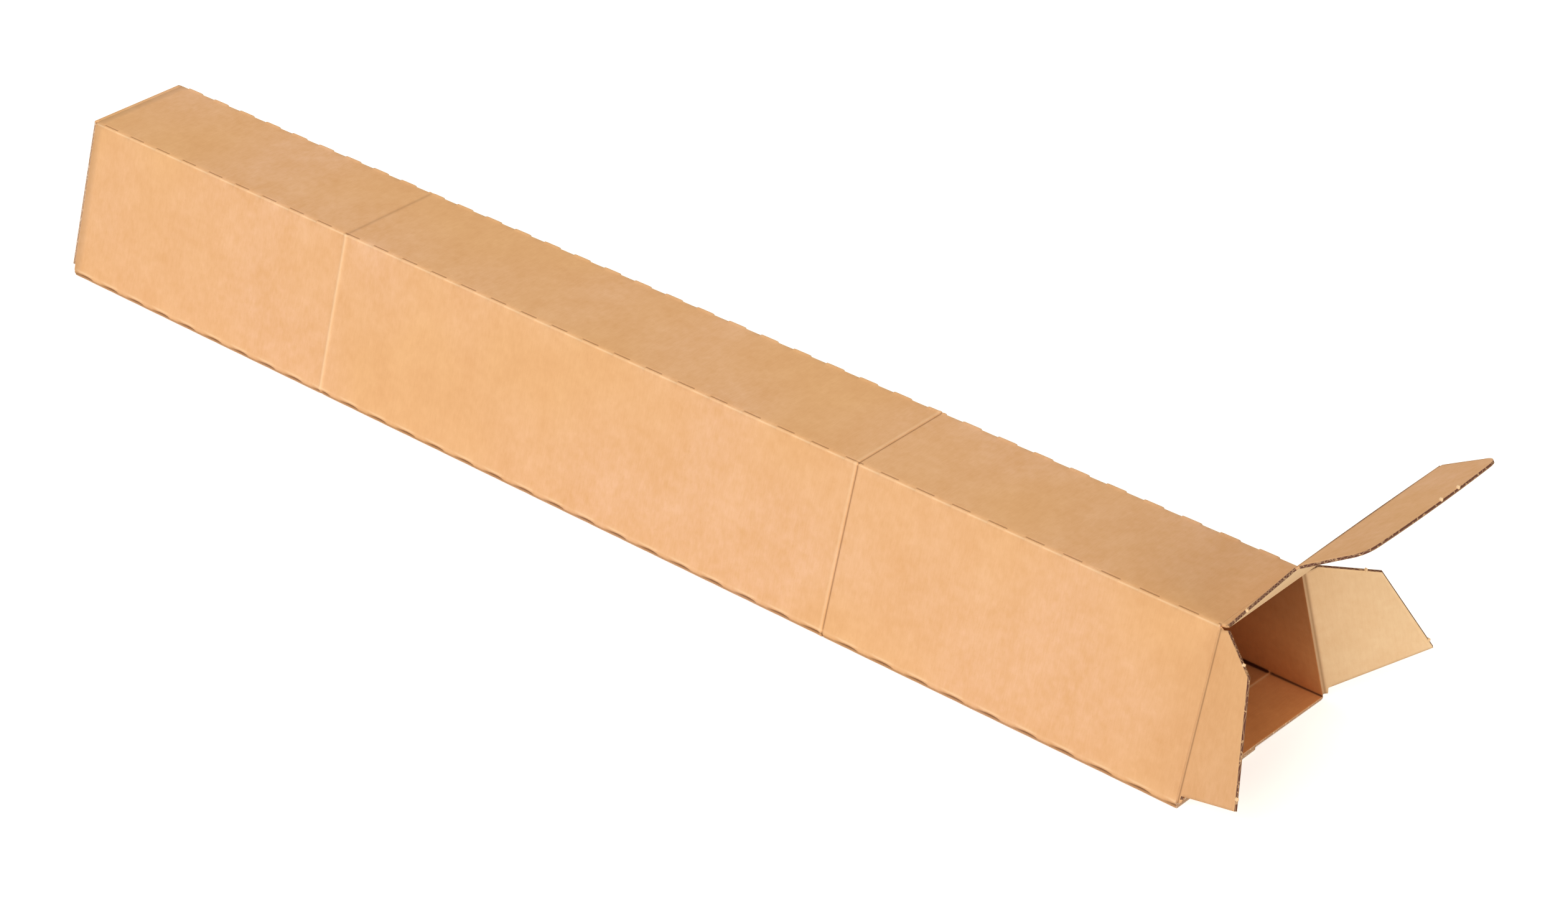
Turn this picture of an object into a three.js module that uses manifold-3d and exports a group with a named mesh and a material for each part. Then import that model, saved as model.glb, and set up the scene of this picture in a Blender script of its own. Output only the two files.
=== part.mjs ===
// Trapezoid shipping box: one die-cut sheet of corrugated board, folded lengthways into a
// sleeve with a narrow top and a wide bottom. Millimetres, +X towards the open mouth,
// +Y towards the rear wall, +Z up. The origin is the middle of the underside.
import * as THREE from 'three';
import { mergeVertices } from 'three/addons/utils/BufferGeometryUtils.js';
import Module from 'manifold-3d';

const wasm = await Module();
wasm.setup();

// Driving sizes of the sleeve
const LENGTH = 711;               // between the folds of the end flaps
const TOP_WIDTH = 58;             // across the top panel, outside
const BOTTOM_WIDTH = 109;         // across the bottom, outside, at floor level
const HEIGHT = 79.5;              // floor to top panel, outside
const BOARD = 1.3;                // thickness of the board
const LAP_REACH = 3;              // how far past the middle the glued lap's raw edge lies
const TOP_FOLD_RADIUS = 1.8;      // outside radius of the two upper long folds
const BOTTOM_FOLD_RADIUS = 2.2;   // outside radius of the two lower long folds
const INNER_FOLD_RADIUS = 0.5;    // inside radius of every long fold
const FOLD_STEPS = 4;             // facets round a long fold

// Creases that run across the sleeve
const CREASE_FROM_MOUTH = 195;
const CREASE_FROM_FAR_END = 189;
const CREASE_WIDTH = 2.4;
const CREASE_DEPTH = 0.35;

// End flaps. Both ends are alike: two dust flaps, a lid and the lid's tuck flap.
const FOLD_GAP = 0.5;             // between two panels, at a fold that works as a hinge
const LIP_DEPTH = 1.5;            // top panel and its folds, kept past the side walls at the mouth
const LID_STEP = 1.7;             // lid fold beyond the dust-flap folds, to clear the dust flaps
const LID_SIDE_CLEARANCE = 0.8;   // lid side inside the middle of the side wall's board
const TUCK_FOLD_HEIGHT = 4.2;     // tuck-flap fold above the floor with the lid shut
const TUCK_DEPTH = 33;
const TUCK_SIDE_CLEARANCE = 1.7;  // tuck flap inside the side wall
const TUCK_TAPER = 2.5;           // each side of the tuck flap, from its fold to its corner
const TUCK_CORNER = 9;            // radius of the tuck flap's free corners

// A dust flap folded in: drops from the top panel's outside, heights above the floor and
// places across the mouth
const DUST_TOP_DROP = 1.8;        // to the level start of the upper edge
const DUST_BEVEL_START = 22.7;    // bevel's upper end, from the middle
const DUST_BEVEL_DROP = 18.7;     // to the bevel's lower end
const DUST_EDGE_FROM_MIDDLE = 1.1;
const DUST_BOTTOM = 6.8;
const DUST_RELIEF_WIDTH = 1.8;    // short rise of the lower edge beside the fold
const DUST_RELIEF_START = 3.2;    // height of the lower edge at the fold

// How the open end stands
const LID_LIFT = 52.2;            // lid above level
const TUCK_BEND = 21.2;           // tuck flap bent from the lid's plane
const FRONT_DUST_SPREAD = 32.4;   // dust flaps spread outwards from their walls' planes
const REAR_DUST_SPREAD = 41.5;

// How the far end stands, shut
const SHUT_LIFT = -90;
const SHUT_BEND = 95;
const SHUT_DUST = 90;

const rad = THREE.MathUtils.degToRad;
const HALF_BOARD = BOARD / 2;
const HALF_LENGTH = LENGTH / 2;
const WALL_SLOPE = (BOTTOM_WIDTH - TOP_WIDTH) / 2 / HEIGHT;
const WALL_TILT = Math.atan(WALL_SLOPE);
const WALL_ACROSS = BOARD / Math.cos(WALL_TILT);   // board measured level through a side wall
const LID_AXIS_HEIGHT = HEIGHT - HALF_BOARD;
const LID_LENGTH = LID_AXIS_HEIGHT - TUCK_FOLD_HEIGHT;
const PANEL_SETBACK = HALF_BOARD + FOLD_GAP;       // fold axis to the next panel's edge

// Half width of the sleeve at a height, to the middle of the side wall's board
function wallMiddle(z) {
  return TOP_WIDTH / 2 + (HEIGHT - z) * WALL_SLOPE - WALL_ACROSS / 2;
}

const kraft = new THREE.MeshStandardMaterial({ color: 0xb98a5c, roughness: 0.85, metalness: 0 });
const kraftDark = new THREE.MeshStandardMaterial({ color: 0xa97b4e, roughness: 0.85, metalness: 0 });
const linerInside = new THREE.MeshStandardMaterial({ color: 0xc9a676, roughness: 0.88, metalness: 0 });

// A closed geometry with shared corners, as a solid for joining and cutting
function toSolid(geometry) {
  const bare = geometry.clone();
  bare.deleteAttribute('normal');
  bare.deleteAttribute('uv');
  const merged = mergeVertices(bare, 1e-5);
  return new wasm.Manifold(new wasm.Mesh({
    numProp: 3,
    vertProperties: new Float32Array(merged.attributes.position.array),
    triVerts: new Uint32Array(merged.index.array),
  }));
}

function toGeometry(solid) {
  const mesh = solid.getMesh();
  const geometry = new THREE.BufferGeometry();
  geometry.setAttribute('position', new THREE.BufferAttribute(mesh.vertProperties.slice(), 3));
  geometry.setIndex(new THREE.BufferAttribute(mesh.triVerts.slice(), 1));
  geometry.computeVertexNormals();
  return geometry;
}

// Corners joined by straight sides, with a corner that has a radius turned into an arc
function roundedOutline(corners) {
  const points = [];
  corners.forEach((corner, i) => {
    const here = new THREE.Vector2(corner.y, corner.z);
    if (!corner.r) {
      points.push(here);
      return;
    }
    const before = corners[(i + corners.length - 1) % corners.length];
    const after = corners[(i + 1) % corners.length];
    const back = new THREE.Vector2(before.y, before.z).sub(here).normalize();
    const on = new THREE.Vector2(after.y, after.z).sub(here).normalize();
    const half = Math.acos(THREE.MathUtils.clamp(back.dot(on), -1, 1)) / 2;
    const inward = back.clone().add(on).normalize();
    const centre = here.clone().addScaledVector(inward, corner.r / Math.sin(half));
    const first = here.clone().addScaledVector(back, corner.r / Math.tan(half)).sub(centre);
    const last = here.clone().addScaledVector(on, corner.r / Math.tan(half)).sub(centre);
    const turn = Math.atan2(first.cross(last), first.dot(last));
    for (let k = 0; k <= FOLD_STEPS; k += 1) {
      const spoke = first.clone().rotateAround(new THREE.Vector2(), (turn * k) / FOLD_STEPS);
      points.push(centre.clone().add(spoke));
    }
  });
  return points;
}

// The sleeve's cross-section, pressed in by an amount where a crease crosses it. The lap
// glued under the bottom panel makes the bottom double from the front fold to its raw edge.
function sleeveSection(pressed) {
  const across = (z, depth) => TOP_WIDTH / 2 + (HEIGHT - z) * WALL_SLOPE - depth;
  const ring = (depth, floor, lapFloor, lapRamp, topRadius, bottomRadius) => {
    const top = HEIGHT - depth * Math.cos(WALL_TILT);
    return roundedOutline([
      { y: -across(top, depth), z: top, r: topRadius },
      { y: -across(lapFloor, depth), z: lapFloor, r: bottomRadius },
      { y: LAP_REACH, z: lapFloor },
      { y: LAP_REACH + lapRamp, z: floor + BOARD },
      { y: across(floor, depth), z: floor, r: bottomRadius },
      { y: across(top, depth), z: top, r: topRadius },
    ]);
  };
  const wall = WALL_ACROSS + pressed;
  const single = BOARD + pressed;
  const double = 2 * BOARD + pressed;
  const outside = ring(pressed, pressed, pressed, 0, TOP_FOLD_RADIUS, BOTTOM_FOLD_RADIUS);
  const inside = ring(wall, single, double, BOARD, INNER_FOLD_RADIUS, INNER_FOLD_RADIUS);
  return { outside, inside };
}

// The sleeve's wall, lofted through its cross-sections from the far end to the mouth
function sleeveBody() {
  const end = HALF_LENGTH + LID_STEP - PANEL_SETBACK;
  const stations = [{ x: -end, pressed: 0 }];
  for (const x of [-HALF_LENGTH + CREASE_FROM_FAR_END, HALF_LENGTH - CREASE_FROM_MOUTH]) {
    stations.push({ x: x - CREASE_WIDTH / 2, pressed: 0 });
    stations.push({ x, pressed: CREASE_DEPTH });
    stations.push({ x: x + CREASE_WIDTH / 2, pressed: 0 });
  }
  stations.push({ x: end, pressed: 0 });

  const positions = [];
  const index = [];
  const count = sleeveSection(0).outside.length;
  for (const station of stations) {
    const section = sleeveSection(station.pressed);
    for (const p of section.outside) positions.push(station.x, p.x, p.y);
    for (const p of section.inside) positions.push(station.x, p.x, p.y);
  }
  const quad = (a, b, c, d) => index.push(a, c, b, a, d, c);
  for (let i = 0; i < count; i += 1) {
    const j = (i + 1) % count;
    for (let s = 0; s + 1 < stations.length; s += 1) {
      const near = s * 2 * count;
      const far = near + 2 * count;
      quad(near + i, far + i, far + j, near + j);
      quad(near + count + j, far + count + j, far + count + i, near + count + i);
    }
    const last = (stations.length - 1) * 2 * count;
    quad(j, count + j, count + i, i);
    quad(last + i, last + count + i, last + count + j, last + j);
  }
  const geometry = new THREE.BufferGeometry();
  geometry.setAttribute('position', new THREE.Float32BufferAttribute(positions, 3));
  geometry.setIndex(index);
  return toSolid(geometry);
}

// A flat panel of the board lying in XY about Z = 0, from its outline
function panel(outline) {
  const geometry = new THREE.ExtrudeGeometry(outline, {
    depth: BOARD, bevelEnabled: false, curveSegments: 6,
  });
  geometry.translate(0, 0, -HALF_BOARD);
  return toSolid(geometry);
}

// The rounded edge of a panel along a fold: a rod of the board's thickness between two points
function foldEdge(from, to) {
  const along = to.clone().sub(from);
  const geometry = new THREE.CylinderGeometry(HALF_BOARD, HALF_BOARD, along.length(), 12);
  const turn = new THREE.Quaternion().setFromUnitVectors(
    new THREE.Vector3(0, 1, 0), along.clone().normalize());
  geometry.applyQuaternion(turn);
  const middle = from.clone().add(to).multiplyScalar(0.5);
  geometry.translate(middle.x, middle.y, middle.z);
  return toSolid(geometry);
}

// A dust flap with its fold along Y: X runs out from the fold, Y down the fold from the
// level of the top panel's outside. Its outline is set out on the shut mouth.
function dustFlapSolid() {
  const cos = Math.cos(WALL_TILT);
  const sin = Math.sin(WALL_TILT);
  const origin = wallMiddle(HEIGHT);
  const place = (fromMiddle, z) => {
    const across = origin - fromMiddle;
    const down = HEIGHT - z;
    return new THREE.Vector2(across * cos + down * sin, down * cos - across * sin);
  };
  const onFold = (z) => new THREE.Vector2(0, (HEIGHT - z) / cos);
  const relief = wallMiddle(DUST_BOTTOM) - DUST_RELIEF_WIDTH;
  const points = [
    onFold(HEIGHT - DUST_TOP_DROP),
    place(DUST_BEVEL_START, HEIGHT - DUST_TOP_DROP),
    place(DUST_EDGE_FROM_MIDDLE, HEIGHT - DUST_BEVEL_DROP),
    place(DUST_EDGE_FROM_MIDDLE, DUST_BOTTOM),
    place(relief, DUST_BOTTOM),
    onFold(DUST_RELIEF_START),
  ];
  const from = new THREE.Vector3(0, points[0].y, 0);
  const to = new THREE.Vector3(0, points[points.length - 1].y, 0);
  return panel(new THREE.Shape(points)).add(foldEdge(from, to));
}

// Where a dust flap's own frame lies: end is +1 at the mouth and -1 at the far end, side is
// -1 at the front wall and +1 at the rear one, and inward is the angle folded in, in degrees
function dustFlapFrame(end, side, inward) {
  const cos = Math.cos(WALL_TILT);
  const sin = Math.sin(WALL_TILT);
  const down = new THREE.Vector3(0, side * sin, -cos);
  const outOfEnd = new THREE.Vector3(end, 0, 0);
  const across = new THREE.Vector3(0, -side * cos, -sin);
  const out = outOfEnd.multiplyScalar(Math.cos(rad(inward)))
    .addScaledVector(across, Math.sin(rad(inward)));
  const normal = out.clone().cross(down);
  const frame = new THREE.Matrix4().makeBasis(out, down, normal);
  frame.setPosition(end * HALF_LENGTH, side * wallMiddle(HEIGHT), HEIGHT);
  return frame;
}

// The lid with its fold along Y at X = 0, and the tuck flap's fold at X = LID_LENGTH
function lidSolid() {
  const halfWidth = (z) => wallMiddle(z) - LID_SIDE_CLEARANCE;
  const nose = LID_LENGTH - PANEL_SETBACK - HALF_BOARD;
  const root = halfWidth(LID_AXIS_HEIGHT);
  const tip = halfWidth(LID_AXIS_HEIGHT - nose);
  const outline = new THREE.Shape([
    new THREE.Vector2(0, -root), new THREE.Vector2(nose, -tip),
    new THREE.Vector2(nose, tip), new THREE.Vector2(0, root),
  ]);
  return panel(outline)
    .add(foldEdge(new THREE.Vector3(0, -root, 0), new THREE.Vector3(0, root, 0)))
    .add(foldEdge(new THREE.Vector3(nose, -tip, 0), new THREE.Vector3(nose, tip, 0)));
}

// The tuck flap with its fold along Y at X = 0, tapered, with rounded free corners
function tuckFlapSolid() {
  const root = wallMiddle(TUCK_FOLD_HEIGHT) - WALL_ACROSS / 2 - TUCK_SIDE_CLEARANCE;
  const tip = root - TUCK_TAPER;
  const outline = new THREE.Shape();
  outline.moveTo(0, -root);
  outline.lineTo(TUCK_DEPTH - TUCK_CORNER, -tip);
  outline.quadraticCurveTo(TUCK_DEPTH, -tip, TUCK_DEPTH, -tip + TUCK_CORNER);
  outline.lineTo(TUCK_DEPTH, tip - TUCK_CORNER);
  outline.quadraticCurveTo(TUCK_DEPTH, tip, TUCK_DEPTH - TUCK_CORNER, tip);
  outline.lineTo(0, root);
  return panel(outline)
    .add(foldEdge(new THREE.Vector3(0, -root, 0), new THREE.Vector3(0, root, 0)));
}

// The space that the side walls and the bottom leave free at an end, under the top panel's
// lip, so that the lid's fold lies outside the folded dust flaps
function endTrim(end) {
  const from = HALF_LENGTH - PANEL_SETBACK;
  const reach = 2 * (LID_STEP + PANEL_SETBACK);
  const tall = 2 * (HEIGHT - LIP_DEPTH);
  const geometry = new THREE.BoxGeometry(reach, 2 * BOTTOM_WIDTH, tall);
  geometry.translate(end * (from + reach / 2), 0, 0);
  return toSolid(geometry);
}

function named(name, solid, material) {
  const mesh = new THREE.Mesh(toGeometry(solid), material);
  mesh.name = name;
  return mesh;
}

// A lid and its tuck flap at one end, with X out of that end
function lidAt(end, lift, bend, lidName, tuckName) {
  const outwards = new THREE.Group();
  outwards.rotation.z = end > 0 ? 0 : Math.PI;
  outwards.position.set(end * (HALF_LENGTH + LID_STEP), 0, LID_AXIS_HEIGHT);
  const lidFold = new THREE.Group();
  lidFold.rotation.y = -rad(lift);
  const tuckFold = new THREE.Group();
  tuckFold.position.x = LID_LENGTH;
  tuckFold.rotation.y = rad(bend);
  tuckFold.add(named(tuckName, tuckFlapSolid(), kraft));
  lidFold.add(named(lidName, lidSolid(), kraftDark), tuckFold);
  outwards.add(lidFold);
  return outwards;
}

function dustFlapAt(end, side, inward, name) {
  const mesh = named(name, dustFlapSolid(), linerInside);
  mesh.applyMatrix4(dustFlapFrame(end, side, inward));
  return mesh;
}

const box = new THREE.Group();
box.add(named('sleeve', sleeveBody().subtract(endTrim(1)).subtract(endTrim(-1)), kraft));
box.add(lidAt(1, LID_LIFT, TUCK_BEND, 'lid', 'lid_tuck_flap'));
box.add(dustFlapAt(1, -1, -FRONT_DUST_SPREAD, 'front_dust_flap'));
box.add(dustFlapAt(1, 1, -REAR_DUST_SPREAD, 'rear_dust_flap'));
box.add(lidAt(-1, SHUT_LIFT, SHUT_BEND, 'far_lid', 'far_lid_tuck_flap'));
box.add(dustFlapAt(-1, -1, SHUT_DUST, 'far_front_dust_flap'));
box.add(dustFlapAt(-1, 1, SHUT_DUST, 'far_rear_dust_flap'));

export default box;
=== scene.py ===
"""Looks of a trapezoid shipping box of corrugated board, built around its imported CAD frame.

Sizes are in millimetres and become metres where a mesh is made. +X points out of the open
mouth, +Y to the rear wall and +Z up, from the middle of the box's underside.
"""
import math

import bpy
import numpy as np
from mathutils import Matrix, Vector


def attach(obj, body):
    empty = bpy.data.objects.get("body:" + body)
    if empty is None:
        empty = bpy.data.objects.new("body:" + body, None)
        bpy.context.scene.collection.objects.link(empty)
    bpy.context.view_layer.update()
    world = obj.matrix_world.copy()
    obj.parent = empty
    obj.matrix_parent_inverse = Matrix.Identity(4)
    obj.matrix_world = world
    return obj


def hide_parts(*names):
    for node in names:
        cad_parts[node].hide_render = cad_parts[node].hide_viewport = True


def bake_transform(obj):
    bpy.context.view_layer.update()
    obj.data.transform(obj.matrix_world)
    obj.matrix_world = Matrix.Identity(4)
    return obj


MM = 0.001
TURN = 2 * math.pi

# The box's own sizes, as in the CAD part
LENGTH = 711.0
TOP_WIDTH = 58.0
BOTTOM_WIDTH = 109.0
HEIGHT = 79.5
BOARD = 1.3
LAP_REACH = 3.0
TOP_FOLD_RADIUS = 1.8
BOTTOM_FOLD_RADIUS = 2.2
INNER_FOLD_RADIUS = 0.5
FOLD_GAP = 0.5
LID_STEP = 1.7
LID_SIDE_CLEARANCE = 0.8
TUCK_FOLD_HEIGHT = 4.2
TUCK_DEPTH = 33.0
TUCK_SIDE_CLEARANCE = 1.7
TUCK_TAPER = 2.5
TUCK_CORNER = 9.0
DUST_TOP_DROP = 1.8
DUST_BEVEL_START = 22.7
DUST_BEVEL_DROP = 18.7
DUST_EDGE_FROM_MIDDLE = 1.1
DUST_BOTTOM = 6.8
DUST_RELIEF_WIDTH = 1.8
DUST_RELIEF_START = 3.2
LID_LIFT = 52.2
TUCK_BEND = 21.2
FRONT_DUST_SPREAD = 32.4
REAR_DUST_SPREAD = 41.5
SHUT_TURN = 90.0
SHUT_TUCK_BEND = 95.0

HALF_LENGTH = LENGTH / 2
HALF_BOARD = BOARD / 2
WALL_SLOPE = (BOTTOM_WIDTH - TOP_WIDTH) / 2 / HEIGHT
WALL_TILT = math.atan(WALL_SLOPE)
WALL_ACROSS = BOARD / math.cos(WALL_TILT)
PANEL_SETBACK = HALF_BOARD + FOLD_GAP
LID_AXIS_HEIGHT = HEIGHT - HALF_BOARD
LID_LENGTH = LID_AXIS_HEIGHT - TUCK_FOLD_HEIGHT
SLEEVE_END = HALF_LENGTH - PANEL_SETBACK

# Perforations of the long folds: a cut and a bridge in turn
CUT_PERIOD = 20.05
CUT_LENGTH = 10.0
TOP_CUT_PHASE = 37.3
BOTTOM_CUT_PHASE = 55.4

# Creases that run round the sleeve
FAR_CREASE = -HALF_LENGTH + 189.0
NEAR_CREASE = HALF_LENGTH - 195.0
SCORE_FROM_MOUTH = 29.0

FLUTE_PITCH = 3.2

# Kinds of faces, each with its own material
OUTER_SKIN, INNER_SKIN, RAW_EDGE = 0, 1, 2

# The corners of the sleeve's section that are long folds
FRONT_TOP, FRONT_BOTTOM, REAR_BOTTOM, REAR_TOP = 0, 1, 4, 5

# A top fold's cuts: where the slot and the lip lie from its middle, and how proud the lip is
TOP_CUTS = ((FRONT_TOP, -0.8, 0.5, 0.26), (REAR_TOP, -1.0, 0.6, 0.40))

# How finely the sheets are meshed
FOLD_SAMPLES = 9
FOLD_ROWS = 12
RIM_ROWS = 2
LID_LIP_ROWS, LID_ROWS, LID_COLUMNS = 2, 34, 40
TUCK_ROWS, TUCK_COLUMNS = 16, 32
TUCK_CORNER_STEPS = 8
DUST_TOP_ROWS, DUST_BEVEL_ROWS, DUST_RELIEF_ROWS, DUST_COLUMNS = 8, 20, 2, 44

# How much thinner the board is where a fold is crushed
FOLD_CRUSH = 0.3
FAR_LID_CRUSH = 0.05

# Torn nicks on the flaps' edges: the mesh rows and columns that they lie on, and their shape
LID_NICK_ROW = 10
TUCK_NICK_COLUMNS = (26, 31)
DUST_NICK_ROW = 15
DUST_NICK_COLUMN = 40
NICK_AROUND, NICK_RINGS = 10, 5
NICK_RADII = (0.85, 0.85, 0.95)
NICK_LUMPS = 0.18

# The camera, in metres, solved from the box's own corners in the photograph
CAMERA_PLACE = (1.08477, -1.10729, 0.94004)
CAMERA_RIGHT = (0.74729072, 0.66445348, -0.00762578)
CAMERA_UP = (-0.338466, 0.390488, 0.856131)
CAMERA_FORWARD = (-0.57183696, 0.63719764, -0.51670268)
CAMERA_LENS = 87.518
SENSOR_WIDTH = 36.0

FLOOR_REACH = 6.0
FLOOR_TONE = 0.86
FLOOR_GLOW = 0.55
WORLD_STRENGTH = 0.44
WORLD_TINT = (1.0, 0.95, 0.80, 1)

X_AXIS, Y_AXIS, Z_AXIS = np.eye(3)


def wall_middle(z):
    """Half width to the middle of a side wall's board: it grows evenly from top to floor."""
    return TOP_WIDTH / 2 + (HEIGHT - z) * WALL_SLOPE - WALL_ACROSS / 2


def smooth(edge0, edge1, value):
    """A cubic step that rises from 0 at edge0 to 1 at edge1."""
    t = np.clip((value - edge0) / (edge1 - edge0), 0, 1)
    return t * t * (3 - 2 * t)


def bell(value, width):
    """A Gaussian bump, 1 at zero and about 0.37 one width away."""
    return np.exp(-((value / width) ** 2))


def cut_distance(x, phase):
    """Signed distance along the fold from the middle of the nearest perforation."""
    return (x - phase + CUT_PERIOD / 2) % CUT_PERIOD - CUT_PERIOD / 2


def make_mesh(name, points, faces, kinds, board, wear_and_painted_light, materials):
    """A mesh in metres from points in millimetres, with smooth faces and one material each.

    The board attribute holds, in millimetres, the place across the flutes and along them,
    and the depth through the board from 0 outside to 1 inside. The wear attribute goes towards 1
    where the skin is cut or crushed and where shade is painted, and towards -1 where
    highlights are painted pale.
    """
    mesh = bpy.data.meshes.new(name)
    mesh.from_pydata((points * MM).tolist(), [], faces)
    mesh.polygons.foreach_set("material_index", kinds.astype(np.int32))
    mesh.polygons.foreach_set("use_smooth", np.ones(len(faces), bool))
    mesh.attributes.new("board", "FLOAT_VECTOR", "POINT").data.foreach_set(
        "vector", board.astype(np.float32).ravel())
    mesh.attributes.new("wear_and_painted_light", "FLOAT", "POINT").data.foreach_set(
        "value", wear_and_painted_light.astype(np.float32))
    mesh.update()
    for material in materials:
        mesh.materials.append(material)
    piece = bpy.data.objects.new(name, mesh)
    bpy.context.scene.collection.objects.link(piece)
    return piece


# The sleeve

def side_steps(length):
    """Distances along a straight side, close together near both of its folds."""
    near = np.array([0.3, 0.7, 1.2, 2.0, 3.5])
    if length < 14:
        return np.linspace(0, length, 7)[1:-1]
    middle = np.linspace(10, length - 10, max(2, int(length / 18)))
    return np.concatenate([near, middle, length - near[::-1]])


def girth_ring(corners):
    """Points round a closed outline whose corners (y, z, radius) are joined by straight sides.

    A corner with a radius becomes an arc tangent to its two sides. Returns the points and,
    for each, which corner is nearest and the signed distance from that corner's middle.
    """
    corner = np.array([(y, z) for y, z, _ in corners])
    radius = [r for _, _, r in corners]
    count = len(corners)
    arcs = []
    for i in range(count):
        back = corner[i - 1] - corner[i]
        back /= np.linalg.norm(back)
        on = corner[(i + 1) % count] - corner[i]
        on /= np.linalg.norm(on)
        if radius[i] == 0:
            sharp = (back * np.linspace(0.02, 0, FOLD_SAMPLES)[:, None]
                     + on * np.linspace(0, 0.02, FOLD_SAMPLES)[:, None])
            arcs.append((corner[i] + sharp, 0.0))
            continue
        half = math.acos(np.clip(back @ on, -1, 1)) / 2
        inward = (back + on) / np.linalg.norm(back + on)
        centre = corner[i] + inward * radius[i] / math.sin(half)
        first = corner[i] + back * radius[i] / math.tan(half) - centre
        last = corner[i] + on * radius[i] / math.tan(half) - centre
        sweep = math.atan2(first[0] * last[1] - first[1] * last[0], first @ last)
        angle = sweep * np.linspace(0, 1, FOLD_SAMPLES)
        swept = np.stack([first[0] * np.cos(angle) - first[1] * np.sin(angle),
                          first[0] * np.sin(angle) + first[1] * np.cos(angle)], -1)
        arcs.append((centre + swept, abs(sweep) * radius[i]))
    points, nearest, distance = [], [], []
    for i in range(count):
        arc, long = arcs[i]
        after = arcs[(i + 1) % count]
        points.append(arc)
        nearest.append(np.full(len(arc), i))
        distance.append(np.linspace(-long / 2, long / 2, len(arc)))
        start, stop = arc[-1], after[0][0]
        length = np.linalg.norm(stop - start)
        steps = side_steps(length)
        points.append(start + (stop - start) * (steps / length)[:, None])
        before_middle = steps < length / 2
        nearest.append(np.where(before_middle, i, (i + 1) % count))
        distance.append(np.where(before_middle, long / 2 + steps,
                                 -(after[1] / 2 + length - steps)))
    return np.concatenate(points), np.concatenate(nearest), np.concatenate(distance)


def sleeve_corners(depth, floor, lap_floor, lap_ramp, top_radius, bottom_radius):
    """Corners of the sleeve's section at a depth inside its outer face."""
    top = HEIGHT - depth * math.cos(WALL_TILT)

    def across(z):
        return TOP_WIDTH / 2 + (HEIGHT - z) * WALL_SLOPE - depth

    return [(-across(top), top, top_radius), (-across(lap_floor), lap_floor, bottom_radius),
            (LAP_REACH, lap_floor, 0), (LAP_REACH + lap_ramp, floor + BOARD, 0),
            (across(floor), floor, bottom_radius), (across(top), top, top_radius)]


def sleeve_stations():
    """Places along the sleeve, closest where a perforation ends and at the two creases."""
    in_period = np.array([-5.25, -4.85, -4.1, -2.2, 0, 2.2, 4.1, 4.85, 5.25, 10.0])
    first = int(-HALF_LENGTH / CUT_PERIOD) - 2
    starts = TOP_CUT_PHASE + CUT_PERIOD * np.arange(first, -first + 1)
    places = (starts[:, None] + in_period).ravel()
    creases = np.array([-2.4, -1.2, -0.8, -0.45, -0.2, 0, 0.2, 0.45, 0.8, 1.2, 2.4])
    score = HALF_LENGTH - SCORE_FROM_MOUTH + np.array([-1.2, -0.6, 0, 0.6, 1.2])
    places = np.concatenate([places, FAR_CREASE + creases, NEAR_CREASE + creases, score,
                             [-SLEEVE_END, SLEEVE_END]])
    places = np.sort(places[np.abs(places) <= SLEEVE_END])
    return places[np.concatenate([[True], np.diff(places) > 0.08])]


def top_fold_cuts(x, nearest, distance):
    """Relief of the top folds, pressed round between their cuts, with their wear and painted light.

    In a cut the skin opens in a narrow slot beside a proud lip. The slot is darkened as bare
    cut board with painted shade in the opening, and a painted highlight pales a line along
    the fold. Places and widths are in millimetres from the fold's middle, with x down the
    rows and the girth along the columns.
    """
    half_cut, fade = CUT_LENGTH / 2, 0.25
    # slot darkening: bare cut board with painted shade in the opening
    slot_width, slot_depth, slot_bare_and_shade = 0.34, 0.5, 0.6
    lip_width = 1.1
    pressed_width, pressed_depth = 1.8, 0.18
    # painted highlight: a pale line along the fold, brighter between the cuts
    highlight_at, highlight_width = 0.55, 0.4
    is_open = smooth(half_cut + fade, half_cut - fade,
                     np.abs(cut_distance(x, TOP_CUT_PHASE)))[:, None]
    out, wear_and_painted_light = 0, 0
    for fold, slot_at, lip_at, proud in TOP_CUTS:
        here = nearest == fold
        slot = is_open * bell(distance - slot_at, slot_width) * here
        lip = is_open * bell(distance - lip_at, lip_width) * here
        pressed = (1 - is_open) * bell(distance, pressed_width) * here
        painted_highlight = (0.75 - 0.35 * is_open) * bell(distance - highlight_at, highlight_width) * here
        out = out + proud * lip - slot_depth * slot - pressed_depth * pressed
        wear_and_painted_light = wear_and_painted_light + slot_bare_and_shade * slot - painted_highlight
    return out, wear_and_painted_light


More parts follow.
